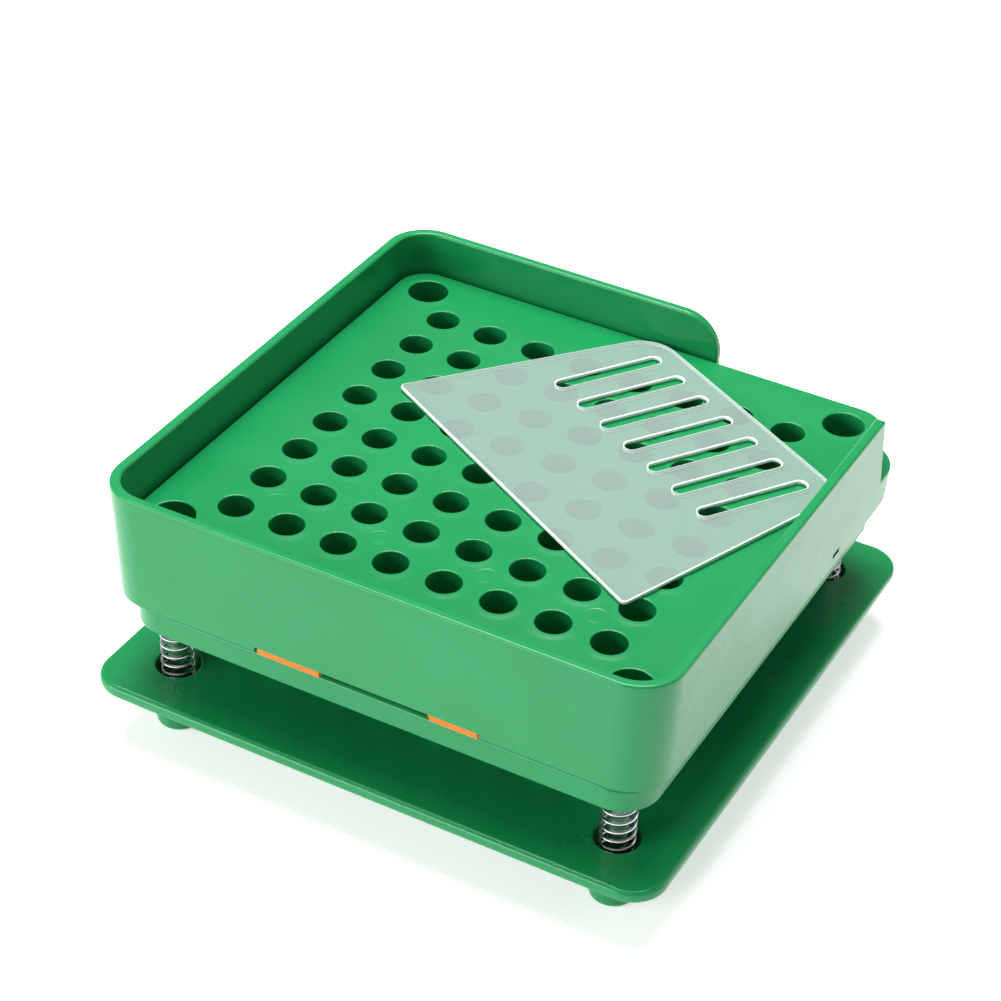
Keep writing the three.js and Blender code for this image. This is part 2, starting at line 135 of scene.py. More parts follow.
def rounded(corners, steps=6):
    """The points of a polygon, each corner (x, y, radius) rounded by its own radius."""
    points = []
    count = len(corners)
    for k, (x, y, radius) in enumerate(corners):
        at = Vector((x, y))
        before = (Vector(corners[k - 1][:2]) - at).normalized()
        after = (Vector(corners[(k + 1) % count][:2]) - at).normalized()
        half = math.acos(max(-1.0, min(1.0, before.dot(after)))) / 2
        setback = radius / math.tan(half)
        centre = at + (before + after).normalized() * (radius / math.sin(half))
        first = at + before * setback - centre
        last = at + after * setback - centre
        sweep = first.angle_signed(last)
        for j in range(steps + 1):
            turn = -sweep * j / steps
            spoke = Matrix.Rotation(turn, 2) @ first
            points.append(tuple(centre + spoke))
    return points


def offset(points, distance):
    """Moves an anticlockwise outline inwards by a distance, or outwards if it is negative."""
    if not distance:
        return list(points)
    moved = []
    count = len(points)
    for k in range(count):
        at = Vector(points[k])
        along = (at - Vector(points[k - 1])).normalized()
        onward = (Vector(points[(k + 1) % count]) - at).normalized()
        left = Vector((-along.y, along.x))
        next_left = Vector((-onward.y, onward.x))
        mitre = (left + next_left) / max(0.2, 1 + left.dot(next_left))
        moved.append(tuple(at + mitre * distance))
    return moved


def quarter_round(radius, steps=3):
    """(inset, drop) of the points of a rounded edge, from the side to the flat."""
    if not radius:
        return [(0, 0)]
    angles = [k / steps * math.pi / 2 for k in range(steps + 1)]
    return [(radius * (1 - math.cos(a)), radius * (1 - math.sin(a))) for a in angles]


# ---- The mesh builder ----------------------------------------------------------------------

class Shell:
    """Points and faces of one piece, in millimetres, gathered before its mesh is made."""

    def __init__(self):
        self.points = []
        self.faces = []

    def loop(self, outline, z):
        """Adds the points of an outline at one level and returns their numbers."""
        start = len(self.points)
        self.points.extend((x, y, z) for x, y in outline)
        return list(range(start, len(self.points)))

    def bridge(self, low, high):
        """A band of faces between two loops of equal length."""
        count = len(low)
        for k in range(count):
            j = (k + 1) % count
            self.faces.append((low[k], low[j], high[j], high[k]))

    def deck(self, outline, holes=()):
        """A flat face inside a loop and round the loops of its holes."""
        rings = [outline, *holes]
        order = [number for ring in rings for number in ring]
        for triangle in tessellate_polygon([[Vector(self.points[n]) for n in ring] for ring in rings]):
            self.faces.append(tuple(order[k] for k in triangle))

    def tower(self, levels):
        """Bands between outlines at their levels. Returns the lowest and the highest loop."""
        loops = [self.loop(outline, z) for outline, z in levels]
        for low, high in zip(loops, loops[1:]):
            self.bridge(low, high)
        return loops[0], loops[-1]

    def wall(self, outline, bottom, top, low_edge=0.0, high_edge=0.0, hole=False):
        """An upright side with rounded ends. A hole's ends widen instead of drawing in."""
        sign = -1 if hole else 1
        levels = [(inset, bottom + drop) for inset, drop in reversed(quarter_round(low_edge))]
        levels += [(inset, top - drop) for inset, drop in quarter_round(high_edge)]
        return self.tower([(offset(outline, sign * inset), z) for inset, z in levels])

    def dimple(self, x, y, z, radius=2.7, depth=0.05):
        """The shallow round mark of an ejector pin. Returns the loop that its deck goes round."""
        sign = 1 if depth > 0 else -1
        rim = self.loop(circle(x, y, radius + 0.12), z)
        foot = self.loop(circle(x, y, radius), z - depth)
        self.bridge(foot, rim)
        inner = self.loop(circle(x, y, radius - 0.25), z - depth)
        self.bridge(inner, foot)
        crown = self.loop(circle(x, y, radius - 0.37), z - depth * (1 - 0.55 * sign))
        self.bridge(crown, inner)
        self.deck(crown)
        return rim

    def mesh(self, name):
        """The finished mesh, in metres, with its faces turned outwards."""
        data = bpy.data.meshes.new(name)
        data.from_pydata([Vector(p) * MM for p in self.points], [], self.faces)
        bm = bmesh.new()
        bm.from_mesh(data)
        bmesh.ops.remove_doubles(bm, verts=bm.verts, dist=1e-7)
        bmesh.ops.dissolve_degenerate(bm, edges=bm.edges, dist=1e-7)
        bmesh.ops.recalc_face_normals(bm, faces=bm.faces)
        bm.to_mesh(data)
        bm.free()
        return data


def box_shell(low, high):
    """A box from its lowest and highest corners, for cutting."""
    shell = Shell()
    outline = [(low[0], low[1]), (high[0], low[1]), (high[0], high[1]), (low[0], high[1])]
    bottom, top = shell.tower([(outline, low[2]), (outline, high[2])])
    shell.deck(bottom)
    shell.deck(top)
    return shell


def prism_along_y(profile, start, end):
    """An (x, z) profile drawn out along Y, for cutting."""
    shell = Shell()
    loops = []
    for y in (start, end):
        first = len(shell.points)
        shell.points.extend((x, y, z) for x, z in profile)
        loops.append(list(range(first, len(shell.points))))
    shell.bridge(*loops)
    shell.deck(loops[0])
    shell.deck(loops[1])
    return shell


def prism_along_x(profile, start, end):
    """A (y, z) profile drawn out along X, for cutting."""
    shell = prism_along_y(profile, start, end)
    shell.points = [(y, x, z) for x, y, z in shell.points]
    return shell


def place(name, data):
    """An object in the scene that shows a mesh."""
    piece = bpy.data.objects.new(name, data)
    bpy.context.scene.collection.objects.link(piece)
    return piece


def cut(piece, shell):
    """Cuts a shell's shape out of a piece for good."""
    tool = place("cutting_tool", shell.mesh("cutting_tool"))
    modifier = piece.modifiers.new("cut", "BOOLEAN")
    modifier.operation = "DIFFERENCE"
    modifier.solver = "EXACT"
    modifier.object = tool
    bpy.context.view_layer.update()
    settled = bpy.data.meshes.new_from_object(piece.evaluated_get(bpy.context.evaluated_depsgraph_get()))
    piece.modifiers.clear()
    piece.data = settled
    bpy.data.objects.remove(tool)


def soften(piece, width, chosen, steps=3):
    """Rounds the edges of a piece that chosen(edge) picks."""
    bm = bmesh.new()
    bm.from_mesh(piece.data)
    bmesh.ops.remove_doubles(bm, verts=bm.verts, dist=2e-6)
    bmesh.ops.dissolve_limit(bm, angle_limit=math.radians(0.5), verts=bm.verts, edges=bm.edges)
    edges = [edge for edge in bm.edges if len(edge.link_faces) == 2 and chosen(edge)]
    bmesh.ops.bevel(
        bm, geom=edges, offset=width * MM, segments=steps, profile=0.5,
        affect="EDGES", clamp_overlap=False, loop_slide=True,
    )
    bm.to_mesh(piece.data)
    bm.free()


SHARP_ANGLE = math.radians(35)  # faces that meet at more than this keep a crisp edge
FACE_WEIGHT = 80  # how far the large faces decide the shading of small roundings


def finish_piece(piece, body, material, nodes, weighted=True):
    """Smooths a piece, paints it, ties it to its body and hides the CAD nodes that it replaces."""
    piece.data.shade_smooth()
    piece.data.set_sharp_from_angle(angle=SHARP_ANGLE)
    if material is not None:
        piece.data.materials.clear()
        piece.data.materials.append(material)
    if weighted:
        modifier = piece.modifiers.new("weighted_normal", "WEIGHTED_NORMAL")
        modifier.keep_sharp = True
        modifier.weight = FACE_WEIGHT
    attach(piece, body)
    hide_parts(*nodes)
    return piece


# ---- Materials -----------------------------------------------------------------------------

class Paint:
    """A node material that is built up in steps round one Principled shader."""

    def __init__(self, name):
        self.material = bpy.data.materials.new(name)
        self.material.use_nodes = True
        self.tree = self.material.node_tree
        self.shader = self.tree.nodes["Principled BSDF"]
        self.where = self.node("ShaderNodeTexCoord").outputs["Object"]
        self.height = None

    def node(self, kind, **values):
        made = self.tree.nodes.new(kind)
        for key, value in values.items():
            setattr(made, key, value)
        return made

    def link(self, output, target):
        self.tree.links.new(output, target)

    def set(self, **values):
        """Sets the shader's own sockets, with _ for each space in a socket's name."""
        for key, value in values.items():
            self.shader.inputs[key.replace("_", " ")].default_value = value

    def stretched(self, scale, turn=0.0):
        """Object coordinates, turned about Z and then scaled along each axis."""
        mapping = self.node("ShaderNodeMapping")
        mapping.inputs["Rotation"].default_value = (0, 0, math.radians(turn))
        mapping.inputs["Scale"].default_value = scale
        self.link(self.where, mapping.inputs["Vector"])
        return mapping.outputs["Vector"]

    def noise(self, scale, detail=2.0, vector=None, rough=0.5):
        made = self.node("ShaderNodeTexNoise")
        made.inputs["Scale"].default_value = scale
        made.inputs["Detail"].default_value = detail
        made.inputs["Roughness"].default_value = rough
        self.link(self.where if vector is None else vector, made.inputs["Vector"])
        return made.outputs["Fac"]

    def spots(self, scale, size):
        """One at the middle of scattered spots, falling to nothing at their edge."""
        made = self.node("ShaderNodeTexVoronoi")
        made.inputs["Scale"].default_value = scale
        made.inputs["Randomness"].default_value = 1.0
        self.link(self.where, made.inputs["Vector"])
        return self.spread(made.outputs["Distance"], size, 0.0, 0.0, 1.0)

    def spread(self, value, low, high, to_low, to_high):
        made = self.node("ShaderNodeMapRange")
        for key, number in zip(("From Min", "From Max", "To Min", "To Max"), (low, high, to_low, to_high)):
            made.inputs[key].default_value = number
        self.link(value, made.inputs["Value"])
        return made.outputs["Result"]

    def math(self, operation, first, second):
        made = self.node("ShaderNodeMath", operation=operation)
        for k, value in enumerate((first, second)):
            if isinstance(value, (int, float)):
                made.inputs[k].default_value = value
            else:
                self.link(value, made.inputs[k])
        return made.outputs["Value"]

    def blend(self, factor, first, second):
        """Mixes two colours, each an output or a plain colour."""
        made = self.node("ShaderNodeMix", data_type="RGBA")
        for k, value in ((6, first), (7, second)):
            if isinstance(value, tuple):
                made.inputs[k].default_value = (*value, 1.0)
            else:
                self.link(value, made.inputs[k])
        self.link(factor, made.inputs[0])
        return made.outputs[2]

    def colour(self, output):
        self.link(output, self.shader.inputs["Base Color"])

    def roughness(self, output):
        self.link(output, self.shader.inputs["Roughness"])

    def bump(self, output, depth):
        """Adds relief of a depth in metres on top of any relief added before."""
        made = self.node("ShaderNodeBump")
        made.inputs["Strength"].default_value = 1.0
        made.inputs["Distance"].default_value = depth
        self.link(output, made.inputs["Height"])
        if self.height is not None:
            self.link(self.height, made.inputs["Normal"])
        self.height = made.outputs["Normal"]
        self.link(self.height, self.shader.inputs["Normal"])


def moulded_green(name, turn):
    """Glossy moulded plastic: slow flow marks, fine grain, specks and hair scratches."""
    paint = Paint(name)
    flow = paint.noise(18, 3.0)
    cloud = paint.noise(70, 2.0)
    mixed = paint.blend(flow, (0.005, 0.176, 0.050), (0.007, 0.212, 0.062))
    mixed = paint.blend(paint.spread(cloud, 0.3, 0.7, 0.0, 0.25), mixed, (0.009, 0.235, 0.078))
    specks = paint.spots(230, 0.045)
    mixed = paint.blend(paint.math("MULTIPLY", specks, 0.35), mixed, (0.16, 0.42, 0.24))
    dust = paint.spots(140, 0.030)
    mixed = paint.blend(paint.math("MULTIPLY", dust, 0.5), mixed, (0.002, 0.080, 0.016))
    paint.colour(mixed)
    hair = paint.noise(1.0, 2.0, paint.stretched((30, 2200, 30), turn))
    scratches = paint.spread(hair, 0.73, 0.79, 0.0, 1.0)
    cross = paint.noise(1.0, 2.0, paint.stretched((26, 1900, 26), turn + 68))
    scratches = paint.math("MAXIMUM", scratches, paint.spread(cross, 0.72, 0.78, 0.0, 1.0))
    handling = paint.spread(paint.noise(45, 3.0), 0.35, 0.7, 0.20, 0.28)
    paint.roughness(paint.math("ADD", handling, paint.math("MULTIPLY", scratches, 0.05)))
    paint.bump(paint.noise(110, 2.0), 0.000012)
    paint.bump(paint.noise(900, 2.0), 0.000008)
    paint.bump(scratches, -0.000002)
    paint.set(IOR=1.34, Coat_Weight=0.06, Coat_Roughness=0.05)
    return paint.material


def satin_orange():
    """The lock sheet: smooth satin sheet with faint rolling lines and rubbed patches."""
    paint = Paint("satin_orange")
    patches = paint.noise(60, 3.0)
    mixed = paint.blend(patches, (0.46, 0.128, 0.003), (0.53, 0.158, 0.006))
    specks = paint.spots(260, 0.05)
    mixed = paint.blend(paint.math("MULTIPLY", specks, 0.3), mixed, (0.40, 0.09, 0.012))
    paint.colour(mixed)
    lines = paint.noise(1.0, 2.0, paint.stretched((20, 1500, 20), 90))
    paint.roughness(paint.spread(lines, 0.3, 0.7, 0.36, 0.50))
    paint.bump(lines, 0.000006)
    paint.set(IOR=1.34)
    return paint.material


def frosted(name, opacity, first, second, roughness):
    """Translucent sheet with a fine frosted grain, cloudy patches and light scratches."""
    paint = Paint(name)
    patches = paint.noise(40, 3.0)
    mixed = paint.blend(patches, first, second)
    specks = paint.spots(300, 0.045)
    mixed = paint.blend(paint.math("MULTIPLY", specks, 0.4), mixed, (0.60, 0.66, 0.64))
    paint.colour(mixed)
    hair = paint.noise(1.0, 2.0, paint.stretched((25, 1800, 25), 24))
    scratches = paint.spread(hair, 0.68, 0.75, 0.0, 1.0)
    grain = paint.spread(paint.noise(1500, 2.0), 0.3, 0.7, roughness - 0.05, roughness + 0.05)
    paint.roughness(paint.math("ADD", grain, paint.math("MULTIPLY", scratches, 0.08)))
    paint.bump(paint.noise(1300, 2.0), 0.000010)
    paint.bump(paint.noise(120, 2.0), 0.000020)
    paint.set(IOR=1.46, Alpha=opacity)
    return paint.material


def turned_steel(name, dark, light, roughness, lines):
    """Bright turned or drawn steel: fine marks round the axis, uneven polish and small stains."""
    paint = Paint(name)
    patches = paint.noise(160, 3.0)
    mixed = paint.blend(patches, dark, light)
    stains = paint.spread(paint.noise(420, 3.0), 0.62, 0.75, 0.0, 0.5)
    mixed = paint.blend(stains, mixed, tuple(0.6 * value for value in dark))
    paint.colour(mixed)
    marks = paint.noise(1.0, 2.0, paint.stretched((60, 60, lines)))
    paint.roughness(paint.spread(marks, 0.3, 0.7, roughness, roughness + 0.12))
    paint.bump(marks, 0.000006)
    paint.set(Metallic=1.0)
    return paint.material


GREEN_TRAY = moulded_green("green_tray", 20)
GREEN_WALL = moulded_green("green_wall", 65)
GREEN_BASE = moulded_green("green_base", -35)
ORANGE = satin_orange()
FROSTED_FACE = frosted("frosted_face", 0.36, (0.30, 0.41, 0.37), (0.34, 0.45, 0.41), 0.42)
FROSTED_EDGE = frosted("frosted_edge", 0.95, (0.66, 0.72, 0.70), (0.74, 0.79, 0.77), 0.30)
STEEL = turned_steel("bright_steel", (0.55, 0.56, 0.57), (0.72, 0.73, 0.74), 0.14, 2600)
WIRE = turned_steel("spring_wire", (0.50, 0.50, 0.51), (0.70, 0.70, 0.71), 0.20, 1800)


# ---- Base plate ----------------------------------------------------------------------------

BASE_CORNER = 8.0
BASE_EDGE = 1.1
FOOT_TOP_R, FOOT_BOTTOM_R, FOOT_ROUND = 6.2, 5.1, 1.4
MOUTH_R, MOUTH_DEPTH, MOUTH_EDGE = 4.9, 3.5, 0.45
POCKET_R, POCKET_FLOOR = 4.3, 5.0
POST_HOLE_R, POST_HOLE_FLOOR = 2.3, 2.0
PIN_R = 1.7
FOOT_SUNK = 0.35  # the hollow under each foot
EJECTORS_ABOVE = ((46.4, 59.6), (61.9, 44.3))  # marks on the margin, in each quarter
EJECTOR_BELOW = 30
GATE_R, GATE_DEPTH = 1.6, 0.25  # where the plastic was let in, under the middle


def foot_outside(shell, x, y):
    """The outside of one foot, under the base. Returns the loop where it meets the plate."""
    fillet = [(FOOT_TOP_R + inset, BASE_BOTTOM - drop) for inset, drop in (
        (1.0, 0.0), (0.5, 0.13), (0.13, 0.5), (0.0, 1.0),
    )]
    rounding = [
        (FOOT_BOTTOM_R - inset, FOOT_BOTTOM + drop) for inset, drop in quarter_round(FOOT_ROUND, 5)
    ]
    levels = [(circle(x, y, radius), z) for radius, z in fillet + rounding]
    top, bottom = shell.tower(levels)
    hollow = FOOT_BOTTOM_R - FOOT_ROUND - 0.6
    sunk, floor = shell.tower([
        (circle(x, y, hollow), FOOT_BOTTOM),
        (circle(x, y, hollow - 0.3), FOOT_BOTTOM + FOOT_SUNK),
        (circle(x, y, 0.6), FOOT_BOTTOM + FOOT_SUNK),
    ])
    shell.deck(bottom, [sunk])
    shell.deck(floor)
    return top


def foot_inside(shell, x, y):
    """The stepped well that the spring and the post stand in. Returns its rim."""
    rim = [(MOUTH_R + inset, BASE_TOP - drop) for inset, drop in reversed(quarter_round(MOUTH_EDGE, 4))]
    well = [
        (MOUTH_R, BASE_TOP - MOUTH_DEPTH),
        (POCKET_R + 0.2, BASE_TOP - MOUTH_DEPTH),
        (POCKET_R, BASE_TOP - MOUTH_DEPTH - 0.2),
        (POCKET_R, POCKET_FLOOR),
        (POST_HOLE_R, POCKET_FLOOR),
        (POST_HOLE_R, POST_HOLE_FLOOR),
    ]
    top, floor = shell.tower([(circle(x, y, radius), z) for radius, z in rim + well])
    shell.deck(floor)
    return top


def push_pin(shell, x, y):
    """A pin that lifts a capsule body, with a small fillet at its foot."""
    levels = [
        (PIN_R + 0.5, BASE_TOP), (PIN_R + 0.15, BASE_TOP + 0.15), (PIN_R, BASE_TOP + 0.5),
        (PIN_R, PIN_TOP - 0.4), (PIN_R - 0.12, PIN_TOP - 0.12), (PIN_R - 0.4, PIN_TOP),
    ]
    foot, tip = shell.tower([(circle(x, y, radius, 20), z) for radius, z in levels])
    shell.deck(tip)
    return foot


def base_plate():
    """The base plate with its feet, its wells and its push pins."""
    shell = Shell()
    low, high = shell.wall(square(BASE_HALF, BASE_CORNER), BASE_BOTTOM, BASE_TOP, BASE_EDGE, BASE_EDGE)
    above = [foot_inside(shell, x, y) for x, y in POSTS.values()]
    above += [push_pin(shell, x, y) for x, y in GRID]
    below = [foot_outside(shell, x, y) for x, y in POSTS.values()]
    for sx in (-1, 1):
        for sy in (-1, 1):
            for x, y in EJECTORS_ABOVE:
                above.append(shell.dimple(sx * x, sy * y, BASE_TOP))
            below.append(shell.dimple(sx * EJECTOR_BELOW, sy * EJECTOR_BELOW, BASE_BOTTOM, depth=-0.08))
    below.append(shell.dimple(0, 0, BASE_BOTTOM, GATE_R, -GATE_DEPTH))
    shell.deck(high, above)
    shell.deck(low, below)
    piece = place("base_plate_moulding", shell.mesh("base_plate_moulding"))
    finish_piece(piece, "base", GREEN_BASE, ["base_plate"])


# ---- Lower plate ---------------------------------------------------------------------------

LOWER_HALF, LOWER_CORNER, LOWER_EDGE = 61.3, 8.8, 0.8
LAND_HALF, LAND_CORNER = 58.4, 5.7  # the raised middle
LOWER_WALL = 3  # the thickness of the plate's edge round its hollow underside
DECK_BOTTOM = LOWER_TOP - 2.5
CORNER_BLOCK = 46.9  # the plate is solid from here to its corners
PIN_HOLE_R = 2.7
BOSS_R, BOSS_BOTTOM = 3.7, 31.0
CLAMP_HOLE_R, CLAMP_HOLE_TOP = 1.75, 43.0
SPRING_SEAT_R, SPRING_SEAT = 4.9, LOWER_BOTTOM + 2.5
POST_BORE_R = 2.6


def lower_hollow(shell):
    """The cross-shaped hollow under the plate. Returns its lowest and its highest loop."""
    inner = LOWER_HALF - LOWER_WALL
    block = CORNER_BLOCK
    plus = []
    for sx, sy in ((1, 1), (-1, 1), (-1, -1), (1, -1)):
        arm = [(sx * inner, sy * block, 1.2), (sx * block, sy * block, 1.2), (sx * block, sy * inner, 1.2)]
        plus += arm if sx * sy > 0 else arm[::-1]
    return shell.wall(rounded(plus), LOWER_BOTTOM, DECK_BOTTOM, 0.3, 0, hole=True)


def clamp_boss(shell, x, y):
    """A bored boss for a clamp screw. Returns the rims at its foot and at the plate's top."""
    boss_rim = shell.loop(circle(x, y, BOSS_R), DECK_BOTTOM)
    boss_foot = shell.loop(circle(x, y, BOSS_R - 0.1), BOSS_BOTTOM)
    shell.bridge(boss_foot, boss_rim)
    hole = circle(x, y, CLAMP_HOLE_R, 24)
    bore, mouth = shell.tower([(hole, BOSS_BOTTOM), (hole, LOWER_TOP)])
    shell.deck(boss_foot, [bore])
    return boss_rim, mouth


def post_bore(shell, x, y):
    """A spring's seat and the post's bore above it. Returns the rims below and above."""
    mouth, seat = shell.wall(circle(x, y, SPRING_SEAT_R), LOWER_BOTTOM, SPRING_SEAT, 0.3, 0, hole=True)
    bore, rim = shell.wall(circle(x, y, POST_BORE_R, 32), SPRING_SEAT, LOWER_TOP, 0, 0.25, hole=True)
    shell.deck(seat, [bore])
    return mouth, rim


def lower_plate():
    """The plate under the hole plate: a raised middle above and a hollow below."""
    shell = Shell()
    low, high = shell.wall(square(LOWER_HALF, LOWER_CORNER), LOWER_BOTTOM, FLANGE_TOP, 0.5, LOWER_EDGE)
    land_foot, land = shell.wall(square(LAND_HALF, LAND_CORNER), FLANGE_TOP, LOWER_TOP, 0, 0.4)
    shell.deck(high, [land_foot])
    hollow_foot, hollow_top = lower_hollow(shell)

    roof, top, bottom = [], [], [hollow_foot]
    for x, y in GRID:
        foot, mouth = shell.wall(circle(x, y, PIN_HOLE_R, 24), DECK_BOTTOM, LOWER_TOP, 0, 0.25, hole=True)
        roof.append(foot)
        top.append(mouth)
    for x, y in CLAMPS.values():
        foot, mouth = clamp_boss(shell, x, y)
        roof.append(foot)
        top.append(mouth)
    for x, y in POSTS.values():
        mouth, rim = post_bore(shell, x, y)
        bottom.append(mouth)
        top.append(rim)
    shell.deck(hollow_top, roof)
    shell.deck(land, top)
    shell.deck(low, bottom)
    piece = place("lower_plate_moulding", shell.mesh("lower_plate_moulding"))
    finish_piece(piece, "tray", GREEN_TRAY, ["lower_plate"])


# ---- Hole plate ----------------------------------------------------------------------------

HOLE_R, BORE_R, RIM_EDGE = 3.8, 4.7, 0.28
BODY_HALF, BODY_CORNER = 61.5, 7.5
COLLAR_RISE = 0.2  # how far the collar stands out of the body
ROOM_HALF, ROOM_CORNER = 58.7, 6.0  # the room under the plate for the raised middle
MOUTH_OUTER, MOUTH_INNER = 66.0, 58.2  # what is cut for the lock sheet lies between these
EJECTOR_R, EJECTOR_DEPTH = 2.5, 0.04
SWELL, SWELL_REACH = 0.13, 2.1  # the moulding stands up a little round each hole


def capsule_hole(shell, x, y, radius, bottom):
    """One hole with a fine rounded rim on a slight swelling. Returns its foot and its outer ring."""
    rise = [(radius + inset, PLATE_TOP + SWELL - drop) for inset, drop in quarter_round(RIM_EDGE, 3)]
    swelling = []
    for k in range(1, 7):
        t = k / 6
        height = SWELL * (1 + math.cos(math.pi * t)) / 2
        swelling.append((radius + RIM_EDGE + SWELL_REACH * t, PLATE_TOP + height))
    levels = [(radius, bottom), *rise, *swelling]
    return shell.tower([(circle(x, y, r, 48), z) for r, z in levels])


def hole_plate():
    """The plate that holds the capsule bodies, with a wider bore over each post."""
    shell = Shell()
    body = square(BODY_HALF, BODY_CORNER)
    collar = square(BODY_HALF + COLLAR_RISE, BODY_CORNER + COLLAR_RISE)
    edge = [(offset(body, inset), PLATE_TOP - drop) for inset, drop in quarter_round(0.4)]
    low, high = shell.tower([
        (offset(body, 0.3), RIM_BOTTOM), (body, RIM_BOTTOM + 0.3), (body, COLLAR_BOTTOM),
        (collar, COLLAR_BOTTOM), (collar, COLLAR_TOP), (body, COLLAR_TOP), *edge,
    ])
    room = square(ROOM_HALF, ROOM_CORNER)
    room_foot, room_top = shell.tower([(room, RIM_BOTTOM), (room, ROOF)])
    shell.deck(low, [room_foot])

    above, below = [], []
    for x, y in GRID:
        foot, ring = capsule_hole(shell, x, y, HOLE_R, ROOF)
        below.append(foot)
        above.append(ring)
    for x, y in POSTS.values():
        foot, ring = capsule_hole(shell, x, y, BORE_R, ROOF)
        below.append(foot)
        above.append(ring)
    for x, y in CLAMPS.values():
        hole = circle(x, y, CLAMP_HOLE_R, 20)
        foot, end = shell.tower([(hole, ROOF), (hole, CLAMP_HOLE_TOP)])
        shell.deck(end)
        below.append(foot)
    shell.deck(room_top, below)
    for x in (-3 * PITCH, -PITCH, PITCH, 3 * PITCH):
        for y in (-3 * PITCH, 3 * PITCH):
            above.append(shell.dimple(x, y, PLATE_TOP, EJECTOR_R, EJECTOR_DEPTH))
    shell.deck(high, above)
    piece = place("hole_plate_moulding", shell.mesh("hole_plate_moulding"))
    low = (-MOUTH_HALF, -MOUTH_OUTER, RIM_BOTTOM - 1)
    cut(piece, box_shell(low, (MOUTH_HALF, -MOUTH_INNER, ROOF)))
    finish_piece(piece, "tray", GREEN_TRAY, ["hole_plate"])


# ---- Guard frame ---------------------------------------------------------------------------

GUARD_EDGE, SKIRT_EDGE = 0.62, 0.45
GUARD_STEPS = 18  # round each of its corners
OUTER_FOOT, OUTER_RIM, OUTER_CORNER = 64.1, 65.2, 10  # half widths, because the walls lean out
INNER_FOOT, INNER_RIM, INNER_CORNER = 61.9, 62.8, 7.8
REBATE_HALF, REBATE_CORNER = 62.6, 8.6  # the step in the skirt that fits round the collar
OPEN_BACK_X, OPEN_BACK_ROUND = 17.75, 9.5
OPEN_SIDE_TOP_Y, OPEN_SIDE_FOOT_Y = 45.4, 50.6
PRY_Y, PRY_Z, PRY_WIDTH, PRY_HEIGHT = 26.5, 39.9, 3.5, 1.2
WALL_INSIDE, WALL_OUTSIDE = 60.5, 67.0  # a cut between these goes right through a wall


def guard_half(z, foot, rim):
    """Half the width of a leaning wall face at one level."""
    return foot + (rim - foot) * (z - GUARD_BOTTOM) / (GUARD_TOP - GUARD_BOTTOM)


def guard_outer(z, inset=0.0):
    """The outside of the wall at one level, with that level."""
    outline = square(guard_half(z, OUTER_FOOT, OUTER_RIM), OUTER_CORNER, GUARD_STEPS)
    return offset(outline, inset), z


def guard_inner(z):
    """The inside of the wall at one level, with that level."""
    return square(guard_half(z, INNER_FOOT, INNER_RIM), INNER_CORNER, GUARD_STEPS), z


def guard_wall():
    """The wall all the way round, before anything is cut out of it."""
    shell = Shell()
    rebate_top = COLLAR_TOP + 0.3
    rebate = square(REBATE_HALF, REBATE_CORNER, GUARD_STEPS)
    skirt = [
        guard_outer(GUARD_BOTTOM + drop, inset) for inset, drop in reversed(quarter_round(SKIRT_EDGE))
    ]
    loops = [shell.loop(outline, z) for outline, z in (
        *skirt, guard_outer(GUARD_TOP), guard_inner(GUARD_TOP), guard_inner(rebate_top),
        (rebate, rebate_top), (rebate, GUARD_BOTTOM),
    )]
    for first, second in zip(loops, loops[1:] + loops[:1]):
        shell.bridge(first, second)
    return shell


def cut_pouring_corner(piece):
    """Takes the wall down to its ledge at the back right corner."""
    above, reach = GUARD_TOP + 1, OUTER_RIM + 1
    arc_x, arc_z = OPEN_BACK_X - OPEN_BACK_ROUND, GUARD_TOP - OPEN_BACK_ROUND
    arc = [
        (arc_x + OPEN_BACK_ROUND * math.cos(a), arc_z + OPEN_BACK_ROUND * math.sin(a))
        for a in (math.pi / 2 * k / 16 for k in range(17))
    ]
    back = [(OPEN_BACK_X, LEDGE), *arc, (arc_x, above), (reach, above), (reach, LEDGE)]
    cut(piece, prism_along_y(back, OPEN_SIDE_FOOT_Y, reach))
    side = [
        (OPEN_SIDE_FOOT_Y, LEDGE), (reach, LEDGE), (reach, above),
        (OPEN_SIDE_TOP_Y, above), (OPEN_SIDE_TOP_Y, GUARD_TOP),
    ]
    cut(piece, prism_along_x(side, WALL_INSIDE, reach))


def on_guard_rim(edge):
    """Whether an edge belongs to the top of the wall or to the pouring corner."""
    z = (edge.verts[0].co.z + edge.verts[1].co.z) / 2 / MM
    return z > LEDGE - 0.1 and edge.calc_face_angle(0) > math.radians(38)


def guard_frame():
    """The wall round the tray, with its pouring corner, its front notch and its pry slot."""
    piece = place("guard_frame_moulding", guard_wall().mesh("guard_frame_moulding"))
    cut_pouring_corner(piece)
    low = (-MOUTH_HALF, -WALL_OUTSIDE, GUARD_BOTTOM - 1)
    cut(piece, box_shell(low, (MOUTH_HALF, -60, ROOF)))
    cut(piece, box_shell(
        (WALL_INSIDE, PRY_Y - PRY_WIDTH / 2, PRY_Z),
        (WALL_OUTSIDE, PRY_Y + PRY_WIDTH / 2, PRY_Z + PRY_HEIGHT),
    ))
    soften(piece, GUARD_EDGE, on_guard_rim, 4)
    finish_piece(piece, "guard", GREEN_WALL, ["guard_frame"])


# ---- Lock sheet and scraper ----------------------------------------------------------------

def plate_with_holes(outline, holes, bottom, top, edge):
    """A flat plate whose outline and holes all have small rounded edges."""
    shell = Shell()
    low, high = shell.wall(outline, bottom, top, edge, edge)
    lows, highs = [], []
    for hole in holes:
        foot, rim = shell.wall(hole, bottom, top, edge, edge, hole=True)
        lows.append(foot)
        highs.append(rim)
    shell.deck(low, lows)
    shell.deck(high, highs)
    return shell


